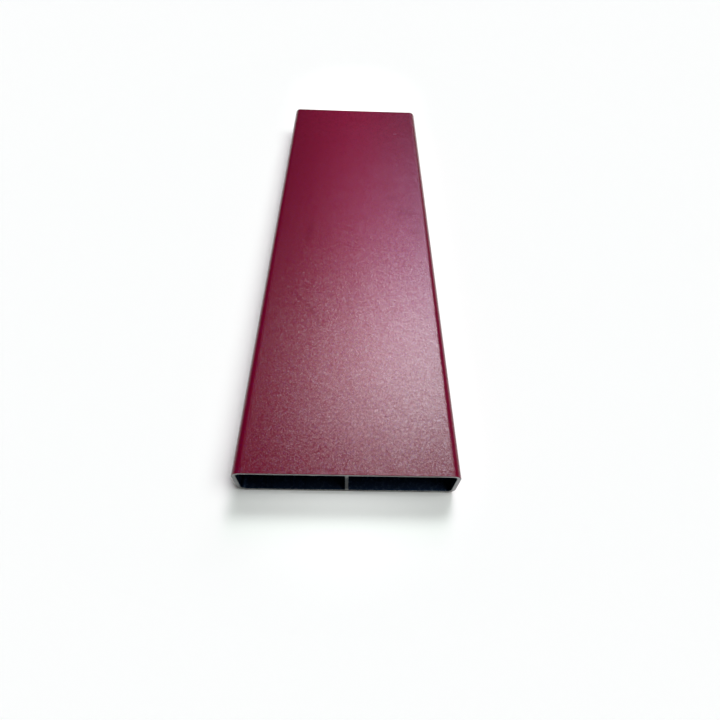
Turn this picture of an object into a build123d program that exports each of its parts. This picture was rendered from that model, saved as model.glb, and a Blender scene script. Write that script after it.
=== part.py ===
from build123d import *

import os

# Flat two-chamber aluminium profile, sawn square at both ends and lying on a wide face.
# X runs across the width, Y along the extrusion and Z up.
# The origin is the middle of the underside.

# Driving dimensions, in millimetres
WIDTH = 100.0
HEIGHT = 20.0
LENGTH = 320.0
WIDE_WALL = 1.5
SIDE_WALL = 1.8
WEB = 1.5
CORNER_RADIUS = 4.0
WEB_ROOT_RADIUS = 0.5
EDGE_BREAK = 0.2

# The chambers round off inside the outer corners where the outside radius leaves room for it.
CHAMBER_CORNER_RADIUS = max(CORNER_RADIUS - SIDE_WALL, WEB_ROOT_RADIUS)
CHAMBER_WIDTH = (WIDTH - WEB) / 2 - SIDE_WALL
CHAMBER_HEIGHT = HEIGHT - 2 * WIDE_WALL
CHAMBER_OFFSET = (WEB + CHAMBER_WIDTH) / 2


def chamber():
    """Clear section of the right-hand chamber, with its web on the left."""
    outline = Rectangle(CHAMBER_WIDTH, CHAMBER_HEIGHT)
    outline = fillet(outline.vertices().group_by(Axis.X)[-1], CHAMBER_CORNER_RADIUS)
    outline = fillet(outline.vertices().group_by(Axis.X)[0], WEB_ROOT_RADIUS)
    return Pos(CHAMBER_OFFSET, 0) * outline


def section():
    """Die section: a rounded box with two chambers either side of a middle web."""
    right = chamber()
    left = mirror(right, about=Plane.YZ)
    return RectangleRounded(WIDTH, HEIGHT, CORNER_RADIUS) - right - left


def profile():
    """The sawn length, with the saw's sharp edges broken at both ends."""
    upright = Plane.XZ * Pos(0, HEIGHT / 2) * section()
    bar = extrude(upright, LENGTH / 2, both=True)
    sawn_faces = bar.faces().filter_by(Axis.Y)
    return chamfer(sawn_faces.edges(), EDGE_BREAK)


os.makedirs("parts", exist_ok=True)
export_step(profile(), "parts/profile.step")
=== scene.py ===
import math
import random

import bmesh
import bpy
from mathutils import Matrix, Vector


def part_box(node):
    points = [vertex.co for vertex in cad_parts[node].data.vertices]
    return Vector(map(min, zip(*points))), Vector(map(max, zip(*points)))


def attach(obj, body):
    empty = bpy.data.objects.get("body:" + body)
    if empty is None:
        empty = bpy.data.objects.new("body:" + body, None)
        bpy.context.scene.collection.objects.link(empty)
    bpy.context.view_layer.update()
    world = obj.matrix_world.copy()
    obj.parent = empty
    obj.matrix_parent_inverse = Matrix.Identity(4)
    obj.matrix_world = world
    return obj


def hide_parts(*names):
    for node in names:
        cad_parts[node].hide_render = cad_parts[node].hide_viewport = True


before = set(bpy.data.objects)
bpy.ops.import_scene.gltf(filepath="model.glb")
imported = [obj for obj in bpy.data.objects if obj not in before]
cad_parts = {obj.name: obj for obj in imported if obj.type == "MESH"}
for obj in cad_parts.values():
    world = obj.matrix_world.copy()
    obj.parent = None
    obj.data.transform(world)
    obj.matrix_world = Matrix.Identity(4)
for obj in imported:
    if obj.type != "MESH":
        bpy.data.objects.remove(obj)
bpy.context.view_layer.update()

# Flat two-chamber aluminium profile, powder coated outside and sawn square at both ends.
# Lengths are in metres.

# Section of the profile
WIDE_WALL = 0.0015
SIDE_WALL = 0.0018
WEB = 0.0015
CORNER_RADIUS = 0.004
CHAMBER_CORNER_RADIUS = CORNER_RADIUS - SIDE_WALL
WEB_ROOT_RADIUS = 0.0005
EDGE_BREAK = 0.0002
LOW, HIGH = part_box("profile")

# How finely the mesh is divided
ARC_STEPS = 10
WIDE_STEPS = 64
NARROW_STEPS = 10
LENGTH_STEPS = 32
BREAK_STEPS = 4

# Shading where faces meet: 50 weighs them by their size, and 100 lets the largest rule
FACE_WEIGHT = 100

# The piece's finishes, in the order of its material slots
COAT, SAWN, CHAMBER = range(3)

# Saw burr along the rims, and the one larger burr under the front edge
BURR_DEPTH = 0.00005
BURR_SEED = 4
FRONT_BURR_X = -0.0147
FRONT_BURR_WIDTH = 0.0012
FRONT_BURR_DROP = 0.00035

# Colours, linear
COAT_RED = (0.144, 0.0006, 0.0170, 1.0)
COAT_DEEP_RED = (0.113, 0.0004, 0.0132, 1.0)
COAT_PURPLE = (0.119, 0.0010, 0.0380, 1.0)
SAWN_GREY = (0.33, 0.334, 0.335, 1.0)
SAWN_DARK_GREY = (0.16, 0.162, 0.165, 1.0)
# Painted shade: a near-black grey laid on the web's sawn face between the two chambers
SAWN_WEB_SHADE_GREY = (0.032, 0.034, 0.038, 1.0)
SAWN_SHINE_TINT = (0.75, 0.755, 0.76, 1.0)
# Chamber walls: painted shade, their grey darkened to a navy near-black for the dark inside the chambers
CHAMBER_SHADED_GREY = (0.11, 0.16, 0.27, 1.0)
CHAMBER_SHADED_DARK_GREY = (0.03, 0.058, 0.13, 1.0)
FLOOR_WHITE = (0.985, 0.985, 0.985, 1.0)
PURE_WHITE = (1.0, 1.0, 1.0, 1.0)

# Powder coat: grains, facets and orange peel to a metre, how far the facets tip, and the shine.
# A grain turns towards purple where its own draw is above PURPLE_ABOVE.
GRAIN_PER_METRE = 2000.0
PURPLE_ABOVE = 0.75
FACET_PER_METRE = 5200.0
FACET_TILT = 0.18
PEEL_PER_METRE = 140.0
PEEL_DETAIL = 1.0
PEEL_HEIGHT = 0.00001
COAT_ROUGHNESS = 0.215
COAT_SHINES = (0.30, 0.58)
COAT_SHINE_TINT = (1.0, 0.895, 1.0, 1.0)

# Sawn ends: saw scratches and patches to a metre
SCRATCHES_PER_METRE = (500.0, 500.0, 6000.0)
SCRATCH_HEIGHT = 0.000012
SAWN_ROUGHNESSES = (0.22, 0.36)
PATCHES_PER_METRE = 260.0

# Chambers: die lines and specks to a metre, and the part of the specks' noise that shows
DIE_LINES_PER_METRE = (2600.0, 12.0, 2600.0)
DIE_LINE_HEIGHT = 0.000005
CHAMBER_ROUGHNESSES = (0.26, 0.40)
SPECKS_PER_METRE = 900.0
SPECK_RANGE = (0.52, 0.78)

# Noise on bare metal: the part of its range that roughness follows, and its levels of detail
NOISE_RANGE = (0.3, 0.7)
LINE_DETAIL = 3.0
PATCH_DETAIL = 2.0

# Marks on the top face: middle, half length, half width, turn in degrees, and how much each dulls the coat.
# The long one is the faint sink line over the web, whose deeper red is painted shade, and the one below
# zero is a rubbed spot that shines more.
# The inner share of each mark has its full strength, which fades from there to the rim.
MARK_DEPTH = 0.005
MARK_CORE_SHARE = 0.4
MARKS = (
    (-0.0302, -0.0554, 0.0090, 0.0016, -44.0, 0.70),
    (-0.0213, -0.0660, 0.0080, 0.0020, -58.0, 0.85),
    (-0.0169, -0.0753, 0.0055, 0.0018, -75.0, 0.75),
    (-0.0107, -0.0559, 0.0080, 0.0016, -48.0, 0.40),
    (-0.0270, 0.0004, 0.0140, 0.0028, 83.0, 1.00),
    (0.0260, 0.0380, 0.0045, 0.0045, 0.0, 0.70),
    (0.0355, 0.0235, 0.0075, 0.0055, -20.0, 0.75),
    (0.0405, 0.0027, 0.0055, 0.0050, 0.0, 0.65),
    # Faint sink line over the web: less shine, and a deeper red that is painted shade
    (0.0, -0.0320, 0.1150, 0.0030, 90.0, 0.18),
    (0.0322, 0.1242, 0.0020, 0.0020, 0.0, -6.0),
)

# Soft lamps: azimuth from +Y towards +X, elevation and width in degrees, strength and colour
LAMPS = (
    ("window_lamp", 13.0, 54.0, 16.0, 0.64, (0.955, 1.0, 0.965)),
    ("side_lamp", 26.0, 53.0, 16.0, 0.64, (0.945, 1.0, 0.965)),
    ("upper_lamp", 0.0, 60.0, 16.0, 0.31, (0.87, 1.0, 0.97)),
    ("lower_lamp", 12.0, 42.0, 16.0, 0.36, (1.0, 0.52, 0.90)),
    ("edge_lamp", 23.0, 27.0, 14.0, 0.10, (0.85, 0.85, 1.0)),
    ("right_lamp", 98.0, 62.0, 40.0, 1.86, (0.96, 1.0, 0.965)),
)

# Long overhead lamp with a grid, which lights the middle of the top more than its edges
OVERHEAD_PLACE = (0.0, 0.05, 0.42)
OVERHEAD_WIDTH = 0.02
OVERHEAD_LENGTH = 0.40
OVERHEAD_SPREAD = 18.0
OVERHEAD_WATTS = 0.055

# Floor, the room's light on the object, and the backdrop that the camera and low reflections see.
# The fade is the height, as a sine, above which reflections no longer see the backdrop.
FLOOR_SIDE = 40.0
FLOOR_ROUGHNESS = 0.9
ROOM_LEVEL = 0.015
BACKDROP_LEVEL = 0.98
HORIZON_FADE = 0.12

# Camera: its angles in degrees, with the tip up from looking straight down,
# and its focal length in pixels of a 720 pixel frame
CAMERA_PLACE = (0.000778, -0.232114, 0.204004)
CAMERA_TIP = 35.826
CAMERA_YAW = 1.984
CAMERA_ROLL = 2.792
FOCAL_PIXELS = 448.125
FRAME_PIXELS = 720.0
SENSOR_MM = 36.0
NEAREST_SEEN = 0.01


# Mesh

def rounded_loop(left, right, bottom, top, left_radius, right_radius):
    """Points (x, z) around a rounded rectangle, anticlockwise from its lower right corner."""
    # Each corner: the middle of its arc, its radius, and where the arc starts in half turns
    corners = (
        (right - right_radius, bottom + right_radius, right_radius, -0.5),
        (right - right_radius, top - right_radius, right_radius, 0.0),
        (left + left_radius, top - left_radius, left_radius, 0.5),
        (left + left_radius, bottom + left_radius, left_radius, 1.0),
    )
    flats = (NARROW_STEPS, WIDE_STEPS, NARROW_STEPS, WIDE_STEPS)
    arcs = []
    for x, z, radius, start in corners:
        angles = [math.pi * (start + 0.5 * i / ARC_STEPS) for i in range(ARC_STEPS + 1)]
        arcs.append([Vector((x + radius * math.cos(a), z + radius * math.sin(a))) for a in angles])
    points = []
    for i, steps in enumerate(flats):
        points += arcs[i]
        begin, end = arcs[i][-1], arcs[(i + 1) % len(arcs)][0]
        points += [begin.lerp(end, k / steps) for k in range(1, steps)]
    return points


def outside_loop(inset):
    """Outline of the profile, drawn in by the broken edge."""
    radius = CORNER_RADIUS - inset
    return rounded_loop(LOW.x + inset, HIGH.x - inset, LOW.z + inset, HIGH.z - inset, radius, radius)


def right_chamber_loop(inset):
    """Outline of the right chamber, widened by the broken edge."""
    left, right = WEB / 2 - inset, HIGH.x - SIDE_WALL + inset
    bottom, top = LOW.z + WIDE_WALL - inset, HIGH.z - WIDE_WALL + inset
    return rounded_loop(left, right, bottom, top, WEB_ROOT_RADIUS + inset, CHAMBER_CORNER_RADIUS + inset)


def left_chamber_loop(inset):
    """Outline of the left chamber, the mirror image of the right one."""
    return [Vector((-p.x, p.y)) for p in right_chamber_loop(inset)]


def stations():
    """Places along the length, with the draw-in of the broken edge at each."""
    turns = [math.pi / 2 * i / BREAK_STEPS for i in range(BREAK_STEPS + 1)]
    edge = [(EDGE_BREAK * (1 - math.cos(a)), EDGE_BREAK * (1 - math.sin(a))) for a in turns]
    front = [(LOW.y + along, inset) for along, inset in edge]
    back = [(HIGH.y - along, inset) for along, inset in reversed(edge)]
    begin, end = front[-1][0], back[0][0]
    middle = [(begin + (end - begin) * i / LENGTH_STEPS, 0.0) for i in range(1, LENGTH_STEPS)]
    return front + middle + back


def add_skin(mesh, loop, wall_material, break_material):
    """Sweeps one outline along the length. Returns the rims at the two sawn ends."""
    rings = []
    for y, inset in stations():
        rings.append([mesh.verts.new((p.x, y, p.y)) for p in loop(inset)])
    for i in range(len(rings) - 1):
        broken = i < BREAK_STEPS or i >= len(rings) - 1 - BREAK_STEPS
        near, far = rings[i], rings[i + 1]
        for k in range(len(near)):
            after = (k + 1) % len(near)
            face = mesh.faces.new((near[k], near[after], far[after], far[k]))
            face.material_index = break_material if broken else wall_material
    return rings[0], rings[-1]


def close_end(mesh, rims, outward):
    """Fills the sawn face between the outline and the two chambers."""
    edges = []
    for rim in rims:
        for k in range(len(rim)):
            edges.append(mesh.edges.get((rim[k], rim[(k + 1) % len(rim)])))
    made = bmesh.ops.triangle_fill(mesh, edges=edges, use_beauty=True, normal=(0, outward, 0))
    for face in made["geom"]:
        if isinstance(face, bmesh.types.BMFace):
            face.material_index = SAWN


def roughen_rims(rims, inward, draws):
    """Sets the rim points back a little and unevenly, as a saw leaves them."""
    for rim in rims:
        for point in rim:
            point.co.y += inward * BURR_DEPTH * draws.random() ** 2


def add_front_burr(mesh):
    """Pulls one burr down from the upper edge of the left chamber's mouth."""
    for point in mesh.verts:
        at_mouth = point.co.y < LOW.y + 2 * EDGE_BREAK
        on_edge = abs(point.co.z - HIGH.z + WIDE_WALL) < 2 * EDGE_BREAK
        if at_mouth and on_edge:
            beside = (point.co.x - FRONT_BURR_X) / FRONT_BURR_WIDTH
            point.co.z -= FRONT_BURR_DROP * math.exp(-beside * beside)


def profile_piece():
    """The whole sawn length as one closed mesh with three finishes."""
    mesh = bmesh.new()
    outside = add_skin(mesh, outside_loop, COAT, COAT)
    left = add_skin(mesh, left_chamber_loop, CHAMBER, SAWN)
    right = add_skin(mesh, right_chamber_loop, CHAMBER, SAWN)
    add_front_burr(mesh)
    draws = random.Random(BURR_SEED)
    for end, inward in ((0, 1), (1, -1)):
        rims = (outside[end], left[end], right[end])
        close_end(mesh, rims, -inward)
        roughen_rims(rims, inward, draws)
    bmesh.ops.recalc_face_normals(mesh, faces=mesh.faces)
    for face in mesh.faces:
        face.smooth = True
    data = bpy.data.meshes.new("extruded_profile")
    mesh.to_mesh(data)
    mesh.free()
    piece = bpy.data.objects.new("extruded_profile", data)
    bpy.context.scene.collection.objects.link(piece)
    even = piece.modifiers.new("even_shading", "WEIGHTED_NORMAL")
    even.weight = FACE_WEIGHT
    return piece


# Materials

def node(tree, kind, inputs=None, **settings):
    """Adds a node. An input given as a socket is linked, and any other is set."""
    made = tree.nodes.new(kind)
    for name, value in settings.items():
        setattr(made, name, value)
    for name, value in (inputs or {}).items():
        if isinstance(value, bpy.types.NodeSocket):
            tree.links.new(value, made.inputs[name])
        else:
            made.inputs[name].default_value = value
    return made


def new_material(name):
    """A material with its node tree, its shader and the piece's own coordinates."""
    material = bpy.data.materials.new(name)
    material.use_nodes = True
    tree = material.node_tree
    place = node(tree, "ShaderNodeTexCoord").outputs["Object"]
    return material, tree, tree.nodes["Principled BSDF"], place


def noise(tree, place, scale, detail):
    """A noise pattern between 0 and 1."""
    made = node(tree, "ShaderNodeTexNoise", {"Vector": place, "Scale": scale, "Detail": detail})
    return made.outputs["Fac"]


def cells(tree, place, scale):
    """Small cells, each with three random draws of its own between 0 and 1."""
    return node(tree, "ShaderNodeTexVoronoi", {"Vector": place, "Scale": scale}).outputs["Color"]


def stretched(tree, place, scale):
    """The piece's coordinates, scaled unevenly to draw a pattern out along one axis."""
    return node(tree, "ShaderNodeMapping", {"Vector": place, "Scale": scale}).outputs["Vector"]


def blend(tree, share, first, second):
    """A colour between two, by a pattern."""
    inputs = {"Factor": share, "A": first, "B": second}
    return node(tree, "ShaderNodeMix", inputs, data_type="RGBA").outputs["Result"]


def spread(tree, value, low, high, to_low, to_high):
    """Maps part of a pattern's range onto another range."""
    inputs = {"Value": value, "From Min": low, "From Max": high, "To Min": to_low, "To Max": to_high}
    return node(tree, "ShaderNodeMapRange", inputs).outputs["Result"]


def bump(tree, height, distance):
    """Raises the surface by a pattern."""
    inputs = {"Height": height, "Distance": distance, "Strength": 1.0}
    return node(tree, "ShaderNodeBump", inputs).outputs["Normal"]


def tilted(tree, normal, draws, amount):
    """Tips each facet's normal by its own random draws."""
    middle = (amount / 2, amount / 2, amount / 2)
    base = node(tree, "ShaderNodeVectorMath", {0: normal, 1: middle}, operation="SUBTRACT").outputs[0]
    scale = (amount, amount, amount)
    tipped = node(tree, "ShaderNodeVectorMath", {0: draws, 1: scale, 2: base}, operation="MULTIPLY_ADD")
    return node(tree, "ShaderNodeVectorMath", {0: tipped.outputs[0]}, operation="NORMALIZE").outputs[0]


def combined(tree, operation, *values):
    """One sum with one, two or three numbers."""
    return node(tree, "ShaderNodeMath", dict(enumerate(values)), operation=operation).outputs["Value"]


def marked(tree, place, x, y, half_length, half_width, turn, dulling):
    """A factor that is 1 beside a mark on the top face and changes towards its middle."""
    inputs = {
        "Vector": place,
        "Location": (x, y, HIGH.z),
        "Rotation": (0.0, 0.0, math.radians(turn)),
        "Scale": (half_length, half_width, MARK_DEPTH),
    }
    inside = node(tree, "ShaderNodeMapping", inputs, vector_type="TEXTURE").outputs["Vector"]
    away = node(tree, "ShaderNodeVectorMath", {0: inside}, operation="LENGTH").outputs["Value"]
    return spread(tree, away, MARK_CORE_SHARE, 1.0, 1.0 - dulling, 1.0)


def powder_coat():
    """Fine-grained wine-red powder coat with a soft sheen, duller where it is marked."""
    material, tree, shader, place = new_material("powder_coat")
    grains = node(tree, "ShaderNodeSeparateColor", {"Color": cells(tree, place, GRAIN_PER_METRE)})
    depth, gloss = grains.outputs["Red"], grains.outputs["Green"]
    for mark in MARKS:
        factor = marked(tree, place, *mark)
        depth = combined(tree, "MULTIPLY", depth, factor)
        gloss = combined(tree, "MULTIPLY", gloss, factor)
    red = blend(tree, depth, COAT_DEEP_RED, COAT_RED)
    purple = spread(tree, grains.outputs["Blue"], PURPLE_ABOVE, 1.0, 0.0, 1.0)
    colour = blend(tree, purple, red, COAT_PURPLE)
    tree.links.new(colour, shader.inputs["Base Color"])
    shine = combined(tree, "MULTIPLY_ADD", gloss, COAT_SHINES[1] - COAT_SHINES[0], COAT_SHINES[0])
    tree.links.new(shine, shader.inputs["Specular IOR Level"])
    peeled = bump(tree, noise(tree, place, PEEL_PER_METRE, PEEL_DETAIL), PEEL_HEIGHT)
    facets = tilted(tree, peeled, cells(tree, place, FACET_PER_METRE), FACET_TILT)
    tree.links.new(facets, shader.inputs["Normal"])
    shader.inputs["Roughness"].default_value = COAT_ROUGHNESS
    shader.inputs["Specular Tint"].default_value = COAT_SHINE_TINT
    return material


def sawn_metal():
    """Bare aluminium as the saw leaves it, with fine scratches across the face and painted shade on the web
    between the chambers.
    """
    material, tree, shader, place = new_material("sawn_aluminium")
    scratches = noise(tree, stretched(tree, place, SCRATCHES_PER_METRE), 1.0, LINE_DETAIL)
    patches = noise(tree, place, PATCHES_PER_METRE, PATCH_DETAIL)
    apart = node(tree, "ShaderNodeSeparateXYZ", {"Vector": place}).outputs
    middle = (LOW.z + HIGH.z) / 2
    aside = combined(tree, "ABSOLUTE", apart["X"])
    off_middle = combined(tree, "ABSOLUTE", combined(tree, "SUBTRACT", apart["Z"], middle))
    chamber_half = HIGH.z - middle - WIDE_WALL
    between = spread(tree, off_middle, chamber_half - 2 * WIDE_WALL, chamber_half, 1.0, 0.0)
    # Painted shade on the web's sawn face, between the two chambers
    web_shade = combined(tree, "MULTIPLY", spread(tree, aside, WEB / 2, WEB, 1.0, 0.0), between)
    plain = blend(tree, patches, SAWN_DARK_GREY, SAWN_GREY)
    colour = blend(tree, web_shade, plain, SAWN_WEB_SHADE_GREY)
    tree.links.new(colour, shader.inputs["Base Color"])
    roughness = spread(tree, scratches, *NOISE_RANGE, *SAWN_ROUGHNESSES)
    tree.links.new(roughness, shader.inputs["Roughness"])
    tree.links.new(bump(tree, scratches, SCRATCH_HEIGHT), shader.inputs["Normal"])
    shader.inputs["Metallic"].default_value = 1.0
    shader.inputs["Specular Tint"].default_value = SAWN_SHINE_TINT
    return material


def chamber_metal():
    """Dull mill-finish aluminium inside the chambers, its colour darkened to a navy near-black as painted
    shade, with die lines along the length.
    """
    material, tree, shader, place = new_material("chamber_aluminium")
    lines = noise(tree, stretched(tree, place, DIE_LINES_PER_METRE), 1.0, LINE_DETAIL)
    specks = noise(tree, place, SPECKS_PER_METRE, PATCH_DETAIL)
    speckled = spread(tree, specks, *SPECK_RANGE, 0.0, 1.0)
    # Painted shade: the chamber walls' grey is darkened to navy near-black, and the specks are real
    colour = blend(tree, speckled, CHAMBER_SHADED_DARK_GREY, CHAMBER_SHADED_GREY)
    tree.links.new(colour, shader.inputs["Base Color"])
    roughness = spread(tree, lines, *NOISE_RANGE, *CHAMBER_ROUGHNESSES)
    tree.links.new(roughness, shader.inputs["Roughness"])
    tree.links.new(bump(tree, lines, DIE_LINE_HEIGHT), shader.inputs["Normal"])
    shader.inputs["Metallic"].default_value = 1.0
    return material


def floor_material():
    """Plain white floor."""
    material, _, shader, _ = new_material("white_floor")
    shader.inputs["Base Color"].default_value = FLOOR_WHITE
    shader.inputs["Roughness"].default_value = FLOOR_ROUGHNESS
    shader.inputs["Specular IOR Level"].default_value = 0.0
    return material


# Stage

def make_floor():
    """A large flat floor that the object lies on."""
    half = FLOOR_SIDE / 2
    data = bpy.data.meshes.new("floor")
    corners = [(-half, -half, LOW.z), (half, -half, LOW.z), (half, half, LOW.z), (-half, half, LOW.z)]
    data.from_pydata(corners, [], [(0, 1, 2, 3)])
    floor = bpy.data.objects.new("floor", data)
    floor.data.materials.append(floor_material())
    bpy.context.scene.collection.objects.link(floor)


def make_room():
    """A dim room with a pale backdrop. Gloss shows it only low down, where it doesn't veil the coat."""
    world = bpy.data.worlds.new("room")
    bpy.context.scene.world = world
    world.use_nodes = True
    tree = world.node_tree
    sees = node(tree, "ShaderNodeLightPath").outputs
    way = node(tree, "ShaderNodeTexCoord").outputs["Generated"]
    height = node(tree, "ShaderNodeSeparateXYZ", {"Vector": way}).outputs["Z"]
    low_down = spread(tree, height, 0.0, HORIZON_FADE, 1.0, 0.0)
    mirrored = combined(tree, "ADD", sees["Is Glossy Ray"], sees["Is Transmission Ray"])
    shown = combined(tree, "MULTIPLY_ADD", mirrored, low_down, sees["Is Camera Ray"])
    level = spread(tree, shown, 0.0, 1.0, ROOM_LEVEL, BACKDROP_LEVEL)
    background = tree.nodes["Background"]
    background.inputs["Color"].default_value = PURE_WHITE
    tree.links.new(level, background.inputs["Strength"])


def make_lamp(name, azimuth, elevation, width, strength, colour):
    """One far soft lamp, pointing at the object."""
    azimuth, elevation = math.radians(azimuth), math.radians(elevation)
    flat = math.cos(elevation)
    towards = Vector((math.sin(azimuth) * flat, math.cos(azimuth) * flat, math.sin(elevation)))
    data = bpy.data.lights.new(name, "SUN")
    data.angle = math.radians(width)
    data.energy = strength
    data.color = colour
    lamp = bpy.data.objects.new(name, data)
    lamp.location = towards
    lamp.rotation_mode = "QUATERNION"
    lamp.rotation_quaternion = towards.to_track_quat("Z", "Y")
    bpy.context.scene.collection.objects.link(lamp)


def make_overhead():
    """The overhead lamp, which lights the coat without a reflection of its own."""
    data = bpy.data.lights.new("overhead_lamp", "AREA")
    data.shape = "RECTANGLE"
    data.size = OVERHEAD_WIDTH
    data.size_y = OVERHEAD_LENGTH
    data.spread = math.radians(OVERHEAD_SPREAD)
    data.energy = OVERHEAD_WATTS
    lamp = bpy.data.objects.new("overhead_lamp", data)
    lamp.location = OVERHEAD_PLACE
    lamp.visible_glossy = False
    bpy.context.scene.collection.objects.link(lamp)


def make_camera():
    """The camera at the photograph's viewing angle."""
    data = bpy.data.cameras.new("camera")
    data.sensor_width = SENSOR_MM
    data.lens = SENSOR_MM * FOCAL_PIXELS / FRAME_PIXELS
    data.clip_start = NEAREST_SEEN
    camera = bpy.data.objects.new("camera", data)
    turn = Matrix.Rotation(math.radians(-CAMERA_YAW), 4, "Z")
    tip = Matrix.Rotation(math.radians(CAMERA_TIP), 4, "X")
    roll = Matrix.Rotation(math.radians(CAMERA_ROLL), 4, "Z")
    camera.matrix_world = Matrix.Translation(CAMERA_PLACE) @ turn @ tip @ roll
    bpy.context.scene.collection.objects.link(camera)
    bpy.context.scene.camera = camera


profile = profile_piece()
for make in (powder_coat, sawn_metal, chamber_metal):
    profile.data.materials.append(make())
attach(profile, "root")
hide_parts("profile")

make_floor()
make_room()
for lamp in LAMPS:
    make_lamp(*lamp)
make_overhead()
make_camera()
bpy.context.scene.view_settings.view_transform = "Standard"
